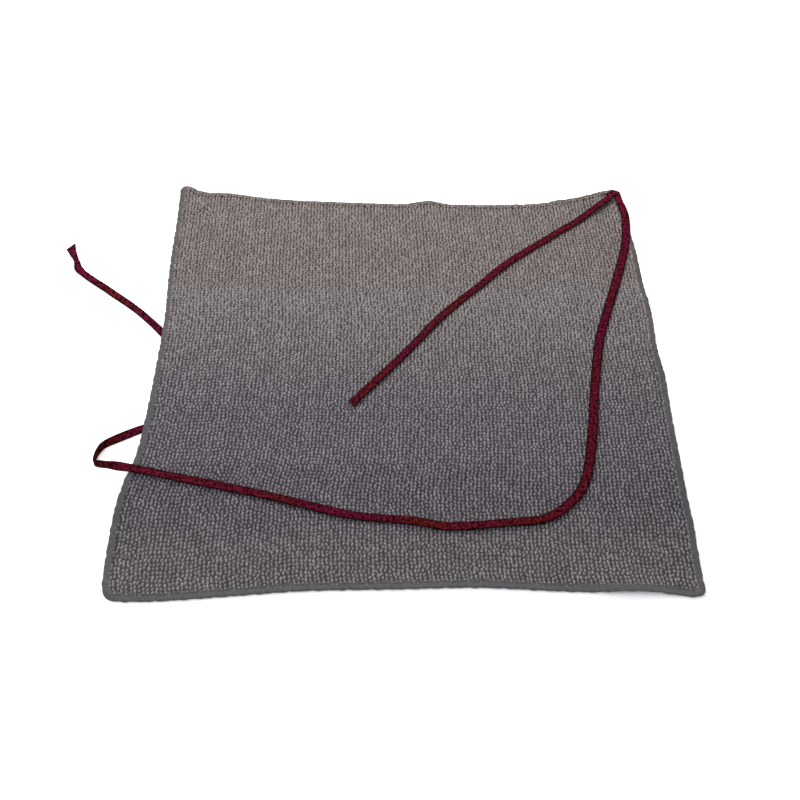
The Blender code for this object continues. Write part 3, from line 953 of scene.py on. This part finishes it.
def make_ground(finish):
    """The woven ground of the towel, as one closed sheet with a point every 4 mm."""
    columns, rows = 103, 102
    reach_x, reach_y = WIDTH / 2 - GROUND_INSET, DEPTH / 2 - GROUND_INSET
    x, y = np.meshgrid(
        np.linspace(-reach_x, reach_x, columns), np.linspace(-reach_y, reach_y, rows), indexing="ij"
    )
    top = laid(x, y, GROUND_HIGH).reshape(-1, 3)
    bottom = laid(x, y, GROUND_LOW).reshape(-1, 3)
    count = columns * rows
    faces = []
    for i in range(columns - 1):
        for j in range(rows - 1):
            a, b, c, d = (i * rows + j, (i + 1) * rows + j, (i + 1) * rows + j + 1, i * rows + j + 1)
            faces.append((a, b, c, d))
            faces.append((d + count, c + count, b + count, a + count))
    rim = [i * rows for i in range(columns)]
    rim += [(columns - 1) * rows + j for j in range(1, rows)]
    rim += [i * rows + rows - 1 for i in range(columns - 2, -1, -1)]
    rim += list(range(rows - 2, 0, -1))
    for a, b in zip(rim, rim[1:] + rim[:1]):
        faces.append((a, a + count, b + count, b))
    return add_object("ground_cloth", mesh_of("ground_cloth", np.concatenate([top, bottom]), faces), finish)


def make_pile(name, tree, first, last, height, lift, values):
    """The loops of a share of the ribs, on one face of the towel. The outermost stand on the edging."""
    ribs = int((WIDTH - 2 * PILE_INSET) / RIB_PITCH)
    near, far = PILE_INSET - DEPTH / 2, DEPTH / 2 - FAR_PILE_INSET
    rows = int((far - near) / ROW_PITCH)
    chance = np.random.default_rng(11)
    phases = chance.uniform(-0.5, 0.5, ribs + 1)
    places = []
    for rib in range(round(first * ribs), round(last * ribs)):
        x = np.full(rows, (rib + 0.5 - ribs / 2) * RIB_PITCH)
        y = near + (np.arange(rows) + 0.5 + 0.5 * phases[rib]) * ROW_PITCH
        inset = np.minimum(WIDTH / 2 - np.abs(x), DEPTH / 2 - np.abs(y))
        places.append(laid(x, y, height + np.where(inset < EDGING_WIDTH, lift, 0)))
    places = np.concatenate(places)
    carrier = bpy.data.meshes.new(name)
    carrier.from_pydata([tuple(place) for place in places], [], [])
    # The brushed nap beyond the middle stands fuller
    store(carrier, "fluff", "FLOAT", 0.91 + 0.20 * smoothstep(places[:, 1], -0.06, 0.08))
    return grow(name, carrier, tree, values)


def make_terry(ground, terry):
    """The ground sheet, and the loops on its face and its back in panels."""
    sheet = make_ground(ground)
    tree = loop_tree()
    face = {
        "Length": LOOP_LENGTH, "Height": 0.0008, "Yarn": LOOP_WIDTH / 2, "Rings": 4, "Sides": 6,
        "Wander": 0.0004, "Swing": 0.45, "Lean": 0.25, "Seed": 1, "Finish": terry,
    }
    back = dict(face, Height=-0.0006, Yarn=LOOP_WIDTH / 2 * 0.85, Rings=3, Sides=4, Seed=41)
    panels, backs = 6, 3
    pieces = [
        make_pile(f"face_pile_{i + 1}", tree, i / panels, (i + 1) / panels, FACE_FEET, OVER_EDGING, face)
        for i in range(panels)
    ]
    pieces += [
        make_pile(f"back_pile_{i + 1}", tree, i / backs, (i + 1) / backs, BACK_FEET, 0, back)
        for i in range(backs)
    ]
    return sheet, pieces


# ---------------------------------------- the edging


def border(inset, step, height):
    """The closed line that runs round the towel at an inset from its cut edge, as points where it lies."""
    half_x, half_y = WIDTH / 2 - inset, DEPTH / 2 - inset
    corners = [(-half_x, -half_y), (half_x, -half_y), (half_x, half_y), (-half_x, half_y)]
    flat = []
    for (x0, y0), (x1, y1) in zip(corners, corners[1:] + corners[:1]):
        count = round(math.hypot(x1 - x0, y1 - y0) / step)
        t = np.arange(count) / count
        flat.append(np.stack([x0 + (x1 - x0) * t, y0 + (y1 - y0) * t], axis=-1))
    flat = np.concatenate(flat)
    return laid(flat[:, 0], flat[:, 1], height)


def edging_profile(shares, arc_points):
    """The edging's wrapped section as (inset, height): over the rim, round its nose and back under it."""
    nose = EDGING_HEIGHT / 2
    flat = [(EDGING_WIDTH * share, 2 * nose) for share in shares]
    turns = np.linspace(0, math.pi, arc_points)
    arc = [(nose - nose * math.sin(turn), nose + nose * math.cos(turn)) for turn in turns]
    return flat + arc + [(inset, 0) for inset, _ in reversed(flat)]


def make_band(finish):
    """The bed of thread under the edging's turns: a closed sleeve round the rim, thinner than the turns."""
    shrink = OVERLOCK_THREAD * 0.55
    nose = EDGING_HEIGHT / 2
    rings = []
    for inset, height in edging_profile((1, 0.8, 0.6), 9):
        height = nose + (height - nose) * (1 - shrink / nose)
        rings.append(border(max(inset, shrink), BED_STEP, height))
    # Its inner edges tuck 0.2 mm into the ground's two faces
    for height in (GROUND_LOW + 0.0002, GROUND_HIGH - 0.0002):
        rings.append(border(EDGING_WIDTH, BED_STEP, height))
    count = min(len(ring) for ring in rings)
    rings = [ring[(np.arange(count) * len(ring) // count)] for ring in rings]
    points = np.stack(rings, axis=1)
    faces = ring_faces(count, len(rings), closed=True)
    return add_object("overlock_bed", mesh_of("overlock_bed", points.reshape(-1, 3), faces), finish)


def path_mesh(name, points):
    """A closed line of points as a mesh of edges, for stitches to follow."""
    mesh = bpy.data.meshes.new(name)
    count = len(points)
    mesh.from_pydata([tuple(point) for point in points], [(i, (i + 1) % count) for i in range(count)], [])
    return mesh


def make_edging(thread, bed):
    """The overlocking: a bed of thread, the turns that wrap the edge, and the chain on their inner ends."""
    band = make_band(bed)
    tree = stitch_tree()
    nose = EDGING_HEIGHT / 2
    radius = OVERLOCK_THREAD / 2
    # Each turn slants over 1.4 pitches as it wraps the edge
    turn_line = []
    profile = edging_profile((1,), 7)
    for number, (inset, height) in enumerate(profile):
        slant = OVERLOCK_PITCH * (number / (len(profile) - 1) - 0.5) * 1.4
        shift = EDGING_WIDTH / 2 - inset
        height = nose + (height - nose) * (1 - radius / nose)
        turn_line.append((slant, -min(shift, EDGING_WIDTH / 2 - radius), height - nose))
    turn = tube("overlock_turn", turn_line, radius, 6)
    path = path_mesh("overlock path", border(EDGING_WIDTH / 2, 0.001, nose))
    turns = grow(
        "overlock_turns", path, tree,
        {"Stitch": turn, "Pitch": OVERLOCK_PITCH, "Swing": 0.05, "Seed": 5, "Finish": thread},
    )
    # One link is a flat ring of thread, a quarter longer than the pitch so that it overlaps the next
    link = CHAIN_PITCH * 0.62
    chain_line = [
        (link * math.cos(turn_angle), 0.00042 * math.sin(turn_angle), 0.00012 * math.cos(turn_angle))
        for turn_angle in np.linspace(0, 2 * math.pi, 10, endpoint=False)
    ]
    chain = tube("chain_link", chain_line, 0.00022, 4, closed=True)
    line = path_mesh("chain path", border(CHAIN_INSET, 0.001, EDGING_HEIGHT + 0.00005))
    links = grow(
        "needle_chain", line, tree,
        {"Stitch": chain, "Pitch": CHAIN_PITCH, "Swing": 0.08, "Seed": 6, "Finish": thread},
    )
    for helper in (turn, chain):
        bpy.data.objects.remove(helper)
    return band, turns, links, tree


# ---------------------------------------- the tack


def make_tack(tree, thread):
    """The bar tack: close zigzag stitches over the tape's layers and their match under the cloth."""
    across = Vector((-SHORT_DIRECTION.y, SHORT_DIRECTION.x))
    # One stitch is a low arch, 3 mm long, that slants by 0.4 mm
    stitch_line = [
        (0.0004 * (i / 6 - 0.5), 0.0015 * (i / 3 - 1), 0.00022 * math.sin(math.pi * i / 6)) for i in range(7)
    ]
    stitch = tube("tack_stitch", stitch_line, 0.00019, 6)
    made = []
    for name, height in (("tack_stitches", UPPER_LAYER + TAPE_THICKNESS), ("tack_back", TACK_RISE + 0.0002)):
        ends = [TACK + across * side * TACK_HALF_WIDTH for side in (-1, 1)]
        mesh = bpy.data.meshes.new(name)
        mesh.from_pydata([(*end, height) for end in ends], [(0, 1)], [])
        values = {"Stitch": stitch, "Pitch": TACK_PITCH, "Swing": 0.18, "Seed": 9, "Finish": thread}
        made.append(grow(name, mesh, tree, values))
    bpy.data.objects.remove(stitch)
    return made


# ---------------------------------------- the studio


def add_softbox(name, place, target, size, watts, colour):
    data = bpy.data.lights.new(name, "AREA")
    data.shape = "SQUARE"
    data.size = size
    data.energy = watts
    data.color = linear(colour)[:3]
    lamp = add_object(name, data)
    lamp.location = place
    lamp.rotation_euler = (Vector(target) - Vector(place)).to_track_quat("-Z", "Y").to_euler()


def make_studio(finish):
    """A plain white floor and soft light, strongest from beyond the far edge."""
    half = 3.0
    corners = [(-half, -half, 0), (half, -half, 0), (half, half, 0), (-half, half, 0)]
    floor = add_object("floor", mesh_of("floor", corners, [(0, 1, 2, 3)], smooth=False), finish)
    world = bpy.data.worlds.new("studio")
    world.use_nodes = True
    world.node_tree.nodes["Background"].inputs["Color"].default_value = linear(0xFAFAFD)
    world.node_tree.nodes["Background"].inputs["Strength"].default_value = 0.95
    bpy.context.scene.world = world
    add_softbox("far_softbox", (-0.1, 0.72, 0.62), (0, 0.12, 0), 0.6, 14, 0xFFF8F1)
    add_softbox("side_softbox", (-1.0, -0.1, 0.9), (0, 0, 0), 0.8, 10, 0xF2F4FF)
    bpy.context.scene.view_settings.view_transform = "Standard"


def main():
    make_camera()
    tape = twill_tape()
    make_tails(tape)
    terry = microfibre_terry()
    sheet, piles = make_terry(ground_weave(), terry)
    thread = textured_thread("grey_overlock_thread", 0x4D4D4B, 0x60605D, 0.0, with_painted_light=True)
    # The bed is a darker copy of the same thread: painted shade, for where it lies under the turns
    bed = textured_thread("overlock_thread_bed", 0x393A37, 0x494A47, 0.0, with_painted_light=True)
    band, turns, chain, tree = make_edging(thread, bed)
    fold = make_fold(tape)
    # The tack thread's brown flecks are partly its own colour and partly painted highlight
    tacks = make_tack(tree, textured_thread("maroon_tack_thread", 0x2A0A0C, 0x5A2A16, 0.05, with_painted_light=False))
    for piece in [sheet, band, turns, chain, fold] + piles + tacks:
        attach(piece, "towel")
    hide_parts("towel_cloth")
    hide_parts("overlock_left", "overlock_right", "overlock_top", "overlock_bottom")
    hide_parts("tape_fold")
    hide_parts("bar_tack")
    make_studio(studio_paper())


main()
